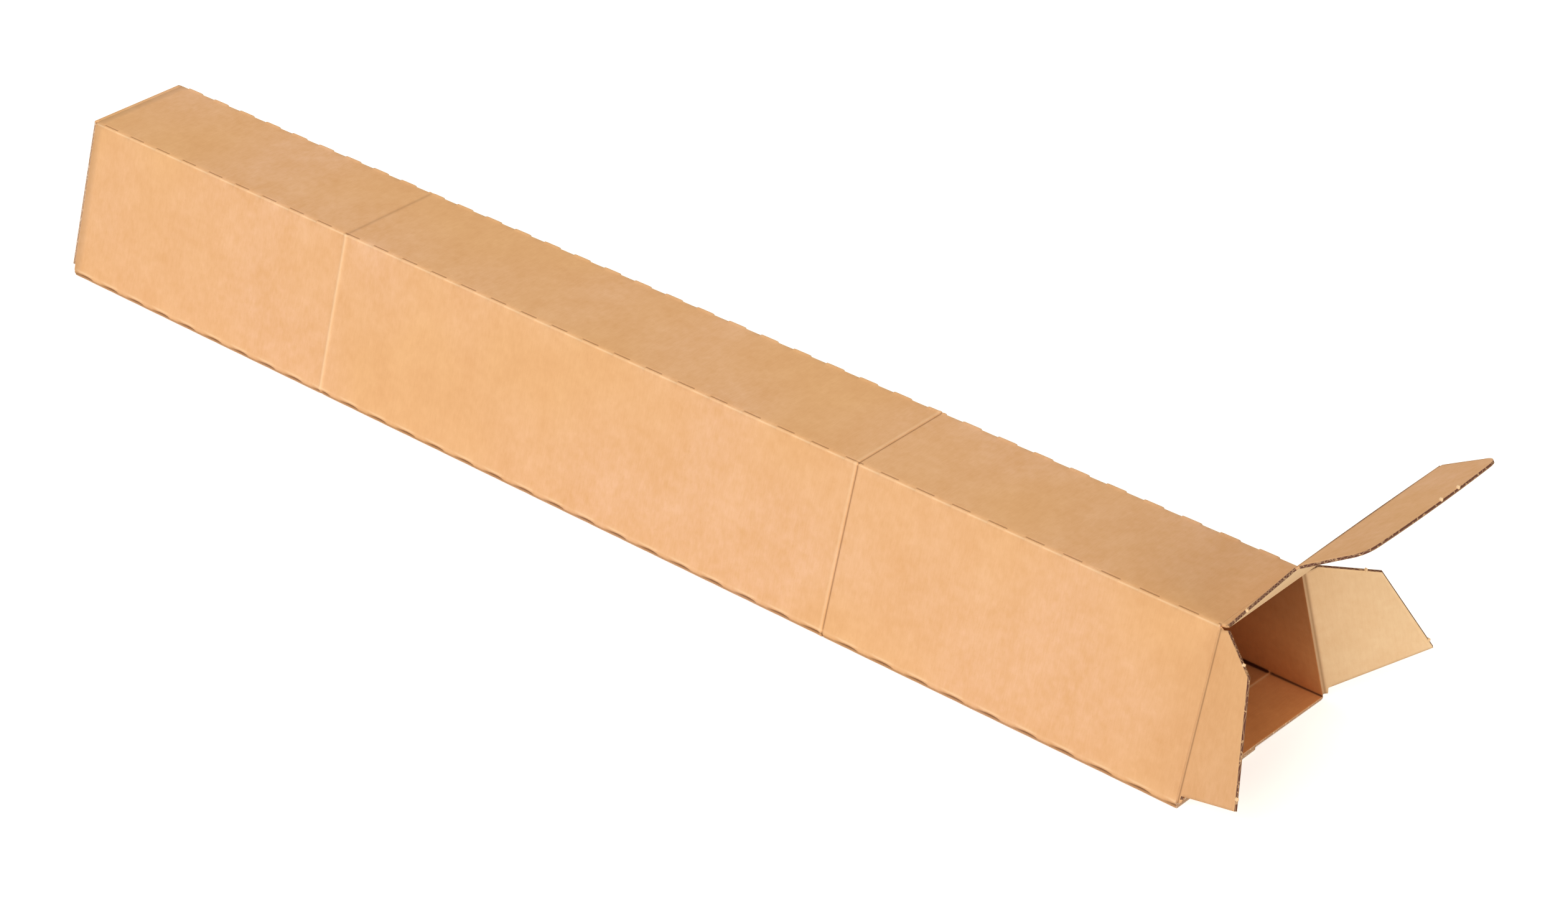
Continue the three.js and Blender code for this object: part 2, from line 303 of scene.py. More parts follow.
def bottom_fold_cuts(x, nearest, distance):
    """Relief of the bottom folds, whose cuts open in lenses beside a crushed groove.

    The slots are darkened as bare cut board with painted shade in the opening; painted shade
    darkens the groove and the fold's underside, and a painted highlight pales the lip.
    Places are measured towards the underside of the box.
    """
    half_lens = CUT_LENGTH / 2 + 0.3
    # slot darkening: bare cut board with painted shade in the opening
    slot_at, slot_width, slot_depth, slot_bare_and_shade = -1.25, 1.1, 0.9, 0.5
    lip_at, lip_width, lip_height = -3.1, 0.8, 0.46
    # groove darkening: painted shade in the crushed groove
    groove_at, groove_width, groove_depth, groove_painted_shade = -0.7, 0.7, 0.35, 0.42
    # painted highlight: a pale line on the lip above the fold
    highlight_at, highlight_width = -3.3, 0.55
    lens = np.sqrt(np.clip(
        1 - (cut_distance(x, BOTTOM_CUT_PHASE) / half_lens) ** 2, 0, 1))[:, None]
    out, wear_and_painted_light = 0, 0
    for fold, under in ((FRONT_BOTTOM, 1), (REAR_BOTTOM, -1)):
        here = nearest == fold
        below = distance * under
        slot = bell((below - slot_at) / np.maximum(lens, 0.05), slot_width) * here
        lip = bell(below - lip_at, lip_width) * here
        groove = bell(below - groove_at, groove_width) * here
        # painted shade where the fold turns under the box
        painted_underside_shade = 0.22 * smooth(-0.2, 0.5, below) * smooth(3.2, 2.2, below) * here
        painted_highlight = (0.2 + 0.6 * lens) * bell(below - highlight_at, highlight_width) * here
        out = out + lens * (lip_height * lip - slot_depth * slot) - groove_depth * groove
        wear_and_painted_light = wear_and_painted_light + slot_bare_and_shade * lens ** 0.5 * slot + groove_painted_shade * groove + painted_underside_shade - painted_highlight
    return out, wear_and_painted_light


def girth_creases(x, nearest, distance):
    """Relief of the two creases that run round the sleeve, with painted shade and highlights.

    The near one is a sunk line beside a low pale ridge. The far one stands proud on the
    front wall and is sunk on the other panels. Painted shade darkens the sunk lines, and
    painted highlights pale the near ridge and the far bead.
    """
    near = (x - NEAR_CREASE)[:, None]
    far = (x - FAR_CREASE)[:, None]
    ridge = near + 1.3
    front_wall = ((nearest == FRONT_BOTTOM) & (distance < 0)
                  | (nearest == FRONT_TOP) & (distance > 0))
    out = (0.16 * bell(ridge, 0.8) - 0.42 * bell(near, 0.42)
           + np.where(front_wall, 0.50 * bell(far, 1.0), -0.20 * bell(far, 1.1)))
    # painted shade in the sunk lines, painted highlights on the near ridge and the far bead
    wear_and_painted_light = (0.48 * bell(near, 0.42) - 0.4 * bell(ridge, 0.6)
            + np.where(front_wall, -0.6, 0.22) * bell(far, 1.0))
    return out, wear_and_painted_light


def sleeve_relief(x, nearest, distance):
    """How far the outer skin stands out or in, where it is cut or crushed, and where shade and
    highlights are painted.
    """
    marks = (top_fold_cuts, bottom_fold_cuts, girth_creases)
    reliefs, wears = zip(*[mark(x, nearest, distance) for mark in marks])
    return sum(reliefs), np.clip(sum(wears), -1, 1)


def lining_painted_shade_and_score(x, inside, nearest, distance):
    """Painted shade and a score on the inside of the sleeve.

    Painted shade darkens the rear inside corner in a line that thins towards the mouth and
    darkens the walls towards their tops, and a pale score crosses the bottom with darker paper beyond
    it.
    """
    corner_shade_width = 0.5 + 1.6 * smooth(HALF_LENGTH, HALF_LENGTH - 90, x)[:, None]
    # painted shade along the rear inside corner, wider deeper in the sleeve
    line = 0.9 * bell(distance / corner_shade_width, 1) * (nearest == REAR_BOTTOM)
    # painted shade darkening the walls towards their tops
    painted_shade_up_walls = 0.34 * smooth(0.2 * HEIGHT, 0.85 * HEIGHT, inside[:, 1])
    on_bottom = inside[:, 1] < 2.2 * BOARD
    from_score = x - (HALF_LENGTH - SCORE_FROM_MOUTH)
    score = 0.3 * smooth(0.4, -0.4, from_score) - 0.9 * bell(from_score, 0.55)
    return np.clip(line + painted_shade_up_walls + score[:, None] * on_bottom, -1, 1)


def panel_sway(x, ring):
    """The panels' gentle waviness along the box: a few long sines, none at the ends."""
    fade = smooth(0, 40, SLEEVE_END - np.abs(x))[:, None]
    y, z = ring[:, 0], ring[:, 1]
    side = np.sin(math.pi * np.clip(z / HEIGHT, 0, 1))
    top = bell(y, 24) * (z > HEIGHT - 4)
    along = (0.22 * np.sin(TURN * x / 143 + 0.6) + 0.13 * np.sin(TURN * x / 61 + 2.1))[:, None]
    return fade * along * (side * np.sign(y) + top)


def build_sleeve(materials):
    """The sleeve: its section's outer and inner rings carried along X, closed at the ends."""
    x = sleeve_stations()
    outside, nearest, distance = girth_ring(
        sleeve_corners(0, 0, 0, 0, TOP_FOLD_RADIUS, BOTTOM_FOLD_RADIUS))
    inside, inner_nearest, inner_distance = girth_ring(
        sleeve_corners(WALL_ACROSS, BOARD, 2 * BOARD, BOARD, INNER_FOLD_RADIUS, INNER_FOLD_RADIUS))
    along_ring = np.roll(outside, -1, 0) - np.roll(outside, 1, 0)
    out = np.stack([along_ring[:, 1], -along_ring[:, 0]], -1)
    out /= np.maximum(np.linalg.norm(out, axis=1), 1e-9)[:, None]
    if ((outside - outside.mean(0)) * out).sum() < 0:
        out *= -1
    relief, wear_and_painted_light = sleeve_relief(x, nearest, distance)
    sway = np.abs(panel_sway(x, outside)) * np.sign(outside[:, 0])
    sideways = np.where(np.abs(out[:, 0]) > 0.5, sway, 0)
    lap_step = (np.abs(outside[:, 0] - LAP_REACH) < 0.05) & (outside[:, 1] < 2)
    relief[:, lap_step] = 0
    resting = (outside[:, 1] < 0.4)[None, :]
    relief = np.where(resting, np.minimum(relief, 0), relief)

    stations, around = len(x), len(outside)
    skin = outside[None] + out[None] * relief[..., None]
    lining = np.repeat(inside[None], stations, 0)
    skin[..., 0] += sideways
    lining[..., 0] += sideways
    points = np.empty((2, stations, around, 3))
    points[..., 0] = x[None, :, None]
    points[0, ..., 1:] = skin
    points[1, ..., 1:] = lining

    girth = np.concatenate([[0], np.cumsum(np.linalg.norm(np.diff(outside, axis=0), axis=1))])
    board = np.empty((2, stations, around, 3))
    board[..., 0] = x[None, :, None]
    board[..., 1] = girth[None, None, :]
    board[0, ..., 2] = 0
    board[1, ..., 2] = 1
    worn_and_painted_light = np.stack([wear_and_painted_light, lining_painted_shade_and_score(x, inside, inner_nearest, inner_distance)])

    index = np.arange(2 * stations * around).reshape(2, stations, around)
    after = np.roll(index, -1, 2)
    outer = np.stack([index[0, :-1], after[0, :-1], after[0, 1:], index[0, 1:]], -1)
    inner = np.stack([index[1, :-1], index[1, 1:], after[1, 1:], after[1, :-1]], -1)
    far_rim = np.stack([index[0, 0], index[1, 0], after[1, 0], after[0, 0]], -1)
    mouth_rim = np.stack([index[0, -1], after[0, -1], after[1, -1], index[1, -1]], -1)
    groups = [outer.reshape(-1, 4), inner.reshape(-1, 4), far_rim, mouth_rim]
    quads = np.concatenate(groups)
    kinds = np.repeat([OUTER_SKIN, INNER_SKIN, RAW_EDGE, RAW_EDGE], [len(g) for g in groups])
    return make_mesh("sleeve_board", points.reshape(-1, 3), quads.tolist(), kinds,
                     board.reshape(-1, 3), worn_and_painted_light.ravel(), materials)


# The flaps

def run(points, counts):
    """Points spaced evenly along each side of a broken line, its corners included."""
    parts = [np.linspace(points[i], points[i + 1], n, endpoint=False)
             for i, n in enumerate(counts)]
    return np.concatenate(parts + [np.array([points[-1]])])


def patch(fold, free, first, last):
    """A Coons patch: each point blends the four border curves and takes away the corners."""
    s = np.linspace(0, 1, len(first))[:, None, None]
    t = np.linspace(0, 1, len(fold))[None, :, None]
    between_sides = (1 - t) * first[:, None] + t * last[:, None]
    between_ends = (1 - s) * fold[None] + s * free[None]
    corners = ((1 - s) * (1 - t) * fold[0] + (1 - s) * t * fold[-1]
               + s * (1 - t) * free[0] + s * t * free[-1])
    return between_sides + between_ends - corners


def fold_path(u, angle):
    """A fold's profile: straight, an arc of the given angle, and straight again.

    u is the distance from the fold's axis. The arc touches both straight parts at the
    panels' setback from the axis. Returns the place along and off the first panel, and the path's slope.
    """
    reach = PANEL_SETBACK
    turn = math.radians(angle)
    radius = reach / math.tan(abs(turn) / 2)
    slope = np.clip((u + reach) / (2 * reach), 0, 1) * turn
    arc_along = -reach + radius * np.sin(np.abs(slope))
    arc_off = radius * (1 - np.cos(slope)) * np.sign(turn)
    along = np.where(u < -reach, u, np.where(u > reach, u * math.cos(turn), arc_along))
    off = np.where(u < -reach, 0, np.where(u > reach, u * math.sin(turn), arc_off))
    return along, off, slope


def build_flap(name, outline, angle, frame, materials, warp=None, crush=FOLD_CRUSH):
    """A flap of board with the strip that joins it over its fold to the next panel.

    outline is a grid of places (u away from the fold, v along it), frame gives the fold's
    origin and the directions along the first panel, along the fold and out of the skin.
    Two skins lie half a board either side of the bent sheet, thinner where the fold is
    crushed, and a rim of RIM_ROWS rows joins them.
    """
    origin, along_axis, fold_axis, out_axis = frame
    u, v = outline[..., 0], outline[..., 1]
    along, off, slope = fold_path(u, angle)
    lift = np.zeros_like(u) if warp is None else warp(u, v)
    normal_along = -np.sin(slope)
    normal_out = np.cos(slope)
    middle = (origin + (along + lift * normal_along)[..., None] * along_axis
              + v[..., None] * fold_axis + (off + lift * normal_out)[..., None] * out_axis)
    normal = normal_along[..., None] * along_axis + normal_out[..., None] * out_axis
    half = HALF_BOARD * (1 - crush * bell(u, 0.9))[..., None]
    skins = np.stack([middle + normal * half, middle - normal * half])

    rows, columns = u.shape
    index = np.arange(2 * rows * columns).reshape(2, rows, columns)
    lap = np.concatenate([index[0, 0, :-1], index[0, :-1, -1], index[0, -1, :0:-1],
                          index[0, :0:-1, 0]])
    flat = skins.reshape(-1, 3)
    outer_loop, inner_loop = flat[lap], flat[lap + rows * columns]
    depth = np.linspace(0, 1, RIM_ROWS + 2)[1:-1, None, None]
    rim = (1 - depth) * outer_loop + depth * inner_loop
    rim_index = 2 * rows * columns + np.arange(RIM_ROWS * len(lap)).reshape(RIM_ROWS, -1)
    loops = np.concatenate([lap[None], rim_index, (lap + rows * columns)[None]])
    after = np.roll(loops, -1, 1)

    grid = index[0]
    outer = np.stack([grid[:-1, :-1], grid[1:, :-1], grid[1:, 1:], grid[:-1, 1:]], -1)
    inner = outer[..., ::-1] + rows * columns
    edge = np.stack([loops[:-1], after[:-1], after[1:], loops[1:]], -1)
    groups = [outer.reshape(-1, 4), inner.reshape(-1, 4), edge.reshape(-1, 4)]
    kinds = np.repeat([OUTER_SKIN, INNER_SKIN, RAW_EDGE], [len(g) for g in groups])
    on_fold = u.ravel()[lap] < 1.5
    kinds[-edge[..., 0].size:][np.tile(on_fold & np.roll(on_fold, -1), RIM_ROWS + 1)] = OUTER_SKIN
    quads = np.concatenate(groups)
    first = quads[len(groups[0]) // 2]
    facing = np.cross(flat[first[1]] - flat[first[0]], flat[first[2]] - flat[first[0]])
    if facing @ normal.reshape(-1, 3)[len(groups[0]) // 2] < 0:
        quads = quads[:, ::-1]

    flat_board = np.stack([u, v, np.zeros_like(u)], -1)
    board = np.stack([flat_board, flat_board + (0, 0, 1)]).reshape(-1, 3)
    rim_board = (1 - depth) * board[lap] + depth * board[lap + rows * columns]
    worn_and_painted_light = np.tile((0.5 * bell(u, 0.55)).ravel(), 2)
    worn_and_painted_light = np.concatenate([worn_and_painted_light, np.zeros(RIM_ROWS * len(lap))])
    return make_mesh(name, np.concatenate([flat, rim.reshape(-1, 3)]), quads.tolist(), kinds,
                     np.concatenate([board, rim_board.reshape(-1, 3)]), worn_and_painted_light, materials)


def dust_flap_outline():
    """A dust flap's grid: its shut-mouth outline, seen along the wall's slope."""
    cos, sin = math.cos(WALL_TILT), math.sin(WALL_TILT)

    def place(from_middle, z):
        across = wall_middle(HEIGHT) - from_middle
        down = HEIGHT - z
        return across * cos + down * sin, down * cos - across * sin

    top = DUST_TOP_DROP / cos
    foot = (HEIGHT - DUST_RELIEF_START) / cos
    relief = wall_middle(DUST_BOTTOM) - DUST_RELIEF_WIDTH
    corner = place(DUST_EDGE_FROM_MIDDLE, HEIGHT - DUST_BEVEL_DROP)
    tip = place(DUST_EDGE_FROM_MIDDLE, DUST_BOTTOM)
    side_rows = DUST_TOP_ROWS + DUST_BEVEL_ROWS
    first = run([(-PANEL_SETBACK, top / 2), (PANEL_SETBACK, top),
                 place(DUST_BEVEL_START, HEIGHT - DUST_TOP_DROP), corner],
                [FOLD_ROWS, DUST_TOP_ROWS, DUST_BEVEL_ROWS])
    last = run([(-PANEL_SETBACK, foot), (PANEL_SETBACK, foot - 0.9),
                place(relief, DUST_BOTTOM), tip],
               [FOLD_ROWS, DUST_RELIEF_ROWS, side_rows - DUST_RELIEF_ROWS])
    return patch(run([(-PANEL_SETBACK, top / 2), (-PANEL_SETBACK, foot)], [DUST_COLUMNS]),
                 run([corner, tip], [DUST_COLUMNS]), first, last)


def lid_outline():
    """The lid's grid, from the top panel to short of the tuck flap's fold."""
    def half(z):
        return wall_middle(z) - LID_SIDE_CLEARANCE

    nose = LID_LENGTH - PANEL_SETBACK
    root, tip = half(LID_AXIS_HEIGHT), half(LID_AXIS_HEIGHT - nose)
    start = -(HALF_LENGTH + LID_STEP - SLEEVE_END)
    root_end = (TOP_WIDTH - TOP_FOLD_RADIUS) / 2
    first = run([(start, -root_end), (-PANEL_SETBACK, -root), (PANEL_SETBACK, -root),
                 (nose, -tip)], [LID_LIP_ROWS, FOLD_ROWS, LID_ROWS])
    last = first * (1, -1)
    return patch(run([first[0], last[0]], [LID_COLUMNS]),
                 run([first[-1], last[-1]], [LID_COLUMNS]), first, last)


def tuck_outline():
    """The tuck flap's grid: tapered sides and two rounded free corners."""
    root = wall_middle(TUCK_FOLD_HEIGHT) - WALL_ACROSS / 2 - TUCK_SIDE_CLEARANCE
    tip = root - TUCK_TAPER
    bend = np.array([(TUCK_DEPTH - TUCK_CORNER, -tip), (TUCK_DEPTH, -tip),
                     (TUCK_DEPTH, -tip + TUCK_CORNER)])
    half = TUCK_CORNER_STEPS
    t = np.linspace(0, 1, 2 * half + 1)[:, None]
    round_corner = (1 - t) ** 2 * bend[0] + 2 * t * (1 - t) * bend[1] + t ** 2 * bend[2]
    side = run([(-PANEL_SETBACK, -root), (PANEL_SETBACK, -root), tuple(bend[0])],
               [FOLD_ROWS, TUCK_ROWS])
    first = np.concatenate([side, round_corner[1:half + 1]])
    free = run([tuple(bend[2]), (TUCK_DEPTH, tip - TUCK_CORNER)], [TUCK_COLUMNS])
    free = np.concatenate([round_corner[half:-1], free,
                           (round_corner[half:-1] * (1, -1))[::-1]])
    last = first * (1, -1)
    return patch(np.linspace(first[0], last[0], len(free)), free, first, last)


# Materials

def colour(red, green, blue):
    """A colour written in screen values from 0 to 255, as the linear values of a socket."""
    screen = np.array([red, green, blue]) / 255
    linear = np.where(screen <= 0.04045, screen / 12.92, ((screen + 0.055) / 1.055) ** 2.4)
    return (*linear.tolist(), 1.0)


def link(tree, *pairs):
    """Joins each pair of sockets."""
    for source, target in pairs:
        tree.links.new(source, target)


def math_node(tree, operation, first, second=None, clamp=False):
    """A Math node on two values, each a socket or a number."""
    node = tree.nodes.new("ShaderNodeMath")
    node.operation = operation
    node.use_clamp = clamp
    for socket, value in zip(node.inputs, (first, second)):
        if value is None:
            continue
        if isinstance(value, (int, float)):
            socket.default_value = value
        else:
            tree.links.new(value, socket)
    return node.outputs[0]


def mix_colours(tree, amount, first, second):
    """A colour between two, by an amount from 0 to 1."""
    node = tree.nodes.new("ShaderNodeMix")
    node.data_type = "RGBA"
    tree.links.new(amount, node.inputs["Factor"])
    for socket, value in zip((node.inputs[6], node.inputs[7]), (first, second)):
        if isinstance(value, tuple):
            socket.default_value = value
        else:
            tree.links.new(value, socket)
    return node.outputs[2]


def noise(tree, vector, scale, stretch, detail=2.0):
    """Noise over a vector in millimetres, stretched by its own scale along each axis."""
    mapping = tree.nodes.new("ShaderNodeMapping")
    mapping.inputs["Scale"].default_value = stretch
    node = tree.nodes.new("ShaderNodeTexNoise")
    node.inputs["Scale"].default_value = scale
    node.inputs["Detail"].default_value = detail
    link(tree, (vector, mapping.inputs["Vector"]), (mapping.outputs[0], node.inputs["Vector"]))
    return node.outputs["Fac"]


def centred(tree, value, gain, middle=0.5):
    """A value's distance from its middle, times a gain."""
    return math_node(tree, "MULTIPLY", math_node(tree, "SUBTRACT", value, middle), gain)


def flute_wave(tree, board):
    """The flutes' sine across the board, and the depth through the board."""
    split = tree.nodes.new("ShaderNodeSeparateXYZ")
    link(tree, (board, split.inputs[0]))
    across = math_node(tree, "MULTIPLY", split.outputs[0], TURN / FLUTE_PITCH)
    return math_node(tree, "SINE", across), split.outputs[2]


def new_group(name, inputs, outputs):
    """An empty node group with the named inputs and outputs."""
    group = bpy.data.node_groups.new(name, "ShaderNodeTree")
    for socket, kind, value in inputs:
        made = group.interface.new_socket(socket, in_out="INPUT", socket_type=kind)
        if value is not None:
            made.default_value = value
    for socket, kind in outputs:
        group.interface.new_socket(socket, in_out="OUTPUT", socket_type=kind)
    return group, group.nodes.new("NodeGroupInput"), group.nodes.new("NodeGroupOutput")


def kraft_paper_group():
    """Kraft liner: soft clouds, cross-laid fibres, faint flutes and dark flecks, paled by painted
    highlights and darkened by bare board and painted shade.
    """
    group, given, made = new_group(
        "kraft_paper",
        [("Board", "NodeSocketVector", None), ("Place", "NodeSocketVector", None),
         ("Light", "NodeSocketColor", (1, 1, 1, 1)), ("Deep", "NodeSocketColor", (0, 0, 0, 1)),
         ("Blush", "NodeSocketColor", (1, 1, 1, 1)), ("Highlit", "NodeSocketColor", (1, 1, 1, 1)),
         ("BareAndShade", "NodeSocketColor", (0, 0, 0, 1)), ("WearAndPaintedLight", "NodeSocketFloat", 0.0),
         ("Flutes", "NodeSocketFloat", 0.2)],
        [("Color", "NodeSocketColor"), ("Roughness", "NodeSocketFloat"),
         ("Height", "NodeSocketFloat")])
    board, place = given.outputs["Board"], given.outputs["Place"]
    clouds = noise(group, place, 60.0, (1, 1, 1), 3.0)
    blotches = noise(group, place, 260.0, (1, 1, 1), 2.0)
    fibres = noise(group, board, 0.9, (1.6, 0.22, 1), 3.0)
    grain = noise(group, place, 2600.0, (1, 1, 1), 2.0)
    flecks = noise(group, place, 900.0, (1, 1, 1), 1.0)
    wave = flute_wave(group, board)[0]
    tone = centred(group, clouds, 1.1)
    tone = math_node(group, "ADD", tone, centred(group, blotches, 0.9))
    tone = math_node(group, "ADD", tone, centred(group, fibres, 0.7))
    tone = math_node(group, "ADD", tone, math_node(
        group, "MULTIPLY", wave, math_node(group, "MULTIPLY", given.outputs["Flutes"], 0.25)))
    amount = math_node(group, "ADD", tone, 0.45, clamp=True)
    drift = noise(group, place, 11.0, (1, 1, 1), 1.0)
    drift = math_node(group, "MULTIPLY", math_node(group, "SUBTRACT", drift, 0.38), 3.4, True)
    ground = mix_colours(group, drift, given.outputs["Light"], given.outputs["Blush"])
    paper = mix_colours(group, amount, ground, given.outputs["Deep"])
    fleck = math_node(group, "MULTIPLY", math_node(group, "GREATER_THAN", flecks, 0.71), 0.35)
    flecked = mix_colours(group, fleck, paper, given.outputs["Deep"])
    # negative values pale the paper: painted highlights
    painted_highlight = math_node(group, "MULTIPLY", given.outputs["WearAndPaintedLight"], -0.8, True)
    highlit_paper = mix_colours(group, painted_highlight, flecked, given.outputs["Highlit"])
    # positive values darken it: bare cut board, wear and painted shade
    bare_and_shade_amount = math_node(group, "MULTIPLY", given.outputs["WearAndPaintedLight"], 1.0, True)
    worn_and_painted_light = mix_colours(group, bare_and_shade_amount, highlit_paper, given.outputs["BareAndShade"])
    rough = math_node(group, "ADD", math_node(group, "MULTIPLY", grain, 0.12), 0.78)
    height = math_node(group, "ADD", math_node(group, "MULTIPLY", fibres, 0.5),
                       math_node(group, "MULTIPLY", grain, 0.35))
    height = math_node(group, "ADD", height, math_node(
        group, "MULTIPLY", wave, given.outputs["Flutes"]))
    link(group, (worn_and_painted_light, made.inputs["Color"]), (rough, made.inputs["Roughness"]),
         (height, made.inputs["Height"]))
    return group


def raw_edge_group():
    """A cut edge: two liners, the wave of the fluting between them and hollows darkened with painted
    shade.
    """
    group, given, made = new_group(
        "raw_edge",
        [("Board", "NodeSocketVector", None), ("Place", "NodeSocketVector", None),
         ("Paper", "NodeSocketColor", (1, 1, 1, 1)), ("PaintedHollowShade", "NodeSocketColor", (0, 0, 0, 1))],
        [("Color", "NodeSocketColor"), ("Height", "NodeSocketFloat")])
    ragged = noise(group, given.outputs["Place"], 700.0, (1, 1, 1), 2.0)
    wave, depth = flute_wave(group, given.outputs["Board"])
    line = math_node(group, "ADD", math_node(group, "MULTIPLY", wave, 0.34), 0.5)
    off_line = math_node(group, "ABSOLUTE", math_node(group, "SUBTRACT", depth, line))
    fluting = math_node(group, "LESS_THAN", off_line, 0.13)
    from_middle = math_node(group, "ABSOLUTE", math_node(group, "SUBTRACT", depth, 0.5))
    liner = math_node(group, "GREATER_THAN", from_middle, 0.40)
    paper = math_node(group, "MAXIMUM", fluting, liner)
    torn = math_node(group, "GREATER_THAN", ragged, 0.60)
    paper = math_node(group, "MAXIMUM", math_node(group, "MULTIPLY", paper, 0.45),
                      math_node(group, "MULTIPLY", torn, 0.75))
    link(group, (mix_colours(group, paper, given.outputs["PaintedHollowShade"], given.outputs["Paper"]),
                 made.inputs["Color"]), (paper, made.inputs["Height"]))
    return group


def new_material(name):
    """A material with a Principled shader and the piece's own place and board attributes."""
    material = bpy.data.materials.new(name)
    material.use_nodes = True
    tree = material.node_tree
    tree.nodes.clear()
    shader = tree.nodes.new("ShaderNodeBsdfPrincipled")
    shader.inputs["Specular IOR Level"].default_value = 0.18
    output = tree.nodes.new("ShaderNodeOutputMaterial")
    link(tree, (shader.outputs[0], output.inputs["Surface"]))
    board = tree.nodes.new("ShaderNodeAttribute")
    board.attribute_name = "board"
    place = tree.nodes.new("ShaderNodeTexCoord")
    return material, tree, shader, board.outputs["Vector"], place.outputs["Object"]


def bump(tree, shader, height, distance, strength):
    """Bump from a height, in metres of relief, on the shader's normal."""
    node = tree.nodes.new("ShaderNodeBump")
    node.inputs["Distance"].default_value = distance
    node.inputs["Strength"].default_value = strength
    link(tree, (height, node.inputs["Height"]), (node.outputs[0], shader.inputs["Normal"]))


def paper_material(name, group, light, blush, deep, highlit_paper, bare_and_shade, flutes):
    """A liner of kraft paper in its own tones, with a pale tone for painted highlights and a dark one
    for bare board and painted shade.
    """
    material, tree, shader, board, place = new_material(name)
    paper = tree.nodes.new("ShaderNodeGroup")
    paper.node_tree = group
    tones = {"Light": light, "Blush": blush, "Deep": deep, "Highlit": highlit_paper, "BareAndShade": bare_and_shade}
    for socket, value in tones.items():
        paper.inputs[socket].default_value = value
    paper.inputs["Flutes"].default_value = flutes
    wear_and_painted_light = tree.nodes.new("ShaderNodeAttribute")
    wear_and_painted_light.attribute_name = "wear_and_painted_light"
    link(tree, (board, paper.inputs["Board"]), (place, paper.inputs["Place"]),
         (wear_and_painted_light.outputs["Fac"], paper.inputs["WearAndPaintedLight"]),
         (paper.outputs["Color"], shader.inputs["Base Color"]),
         (paper.outputs["Roughness"], shader.inputs["Roughness"]))
    bump(tree, shader, paper.outputs["Height"], 0.00005, 0.6)
    return material


def edge_material(name, group, paper_tone, hollow_shade_tone):
    """The cut edge of the board, with painted shade in its flute hollows."""
    material, tree, shader, board, place = new_material(name)
    edge = tree.nodes.new("ShaderNodeGroup")
    edge.node_tree = group
    edge.inputs["Paper"].default_value = paper_tone
    edge.inputs["PaintedHollowShade"].default_value = hollow_shade_tone
    shader.inputs["Roughness"].default_value = 0.9
    link(tree, (board, edge.inputs["Board"]), (place, edge.inputs["Place"]),
         (edge.outputs["Color"], shader.inputs["Base Color"]))
    bump(tree, shader, edge.outputs["Height"], 0.0002, 0.7)
    return material


# Floor, light and camera

def build_floor():
    """A pale floor that the camera sees as white where it is lit, and that keeps a shadow."""
    corners = [(-1, -1, 0), (1, -1, 0), (1, 1, 0), (-1, 1, 0)]
    mesh = bpy.data.meshes.new("floor")
    mesh.from_pydata([Vector(corner) * FLOOR_REACH for corner in corners], [], [(0, 1, 2, 3)])
    floor = bpy.data.objects.new("floor", mesh)
    bpy.context.scene.collection.objects.link(floor)
    material = bpy.data.materials.new("floor_white")
    material.use_nodes = True
    tree = material.node_tree
    shader = tree.nodes["Principled BSDF"]
    shader.inputs["Base Color"].default_value = (FLOOR_TONE, FLOOR_TONE, FLOOR_TONE, 1)
    shader.inputs["Roughness"].default_value = 1.0
    shader.inputs["Specular IOR Level"].default_value = 0.0
    shader.inputs["Emission Color"].default_value = (1, 1, 1, 1)
    path = tree.nodes.new("ShaderNodeLightPath")
    glow = math_node(tree, "MULTIPLY", path.outputs["Is Camera Ray"], FLOOR_GLOW)
    link(tree, (glow, shader.inputs["Emission Strength"]))
    floor.data.materials.append(material)


def build_world():
    """An even pale sky, white to the camera."""
    world = bpy.data.worlds.new("studio")
    bpy.context.scene.world = world
    world.use_nodes = True
    tree = world.node_tree
    tree.nodes.clear()
    light = tree.nodes.new("ShaderNodeBackground")
    light.inputs["Color"].default_value = WORLD_TINT
    light.inputs["Strength"].default_value = WORLD_STRENGTH
    white = tree.nodes.new("ShaderNodeBackground")
    white.inputs["Color"].default_value = (1, 1, 1, 1)
    white.inputs["Strength"].default_value = 1.0
    path = tree.nodes.new("ShaderNodeLightPath")
    choose = tree.nodes.new("ShaderNodeMixShader")
    output = tree.nodes.new("ShaderNodeOutputWorld")
    link(tree, (path.outputs["Is Camera Ray"], choose.inputs[0]),
         (light.outputs[0], choose.inputs[1]), (white.outputs[0], choose.inputs[2]),
         (choose.outputs[0], output.inputs["Surface"]))


def add_sun(name, towards, strength, spread, tint):
    """A soft sun lamp that shines from the given direction."""
    lamp = bpy.data.lights.new(name, "SUN")
    lamp.energy = strength
    lamp.angle = math.radians(spread)
    lamp.color = tint
    sun = bpy.data.objects.new(name, lamp)
    bpy.context.scene.collection.objects.link(sun)
    sun.rotation_euler = Vector(towards).to_track_quat("Z", "Y").to_euler()


def build_camera():
    """The camera at the photograph's place."""
    data = bpy.data.cameras.new("camera")
    data.lens = CAMERA_LENS
    data.sensor_width = SENSOR_WIDTH
    data.sensor_fit = "HORIZONTAL"
    data.clip_start = 0.05
    data.clip_end = 50.0
    camera = bpy.data.objects.new("camera", data)
    bpy.context.scene.collection.objects.link(camera)
    facing = Matrix([CAMERA_RIGHT, CAMERA_UP, -Vector(CAMERA_FORWARD)]).transposed()
    camera.matrix_world = Matrix.Translation(CAMERA_PLACE) @ facing.to_4x4()
    bpy.context.scene.camera = camera


# The whole box

def turned(first, second, angle):
    """A direction turned from the first towards the second by an angle in degrees."""
    return first * math.cos(math.radians(angle)) + second * math.sin(math.radians(angle))


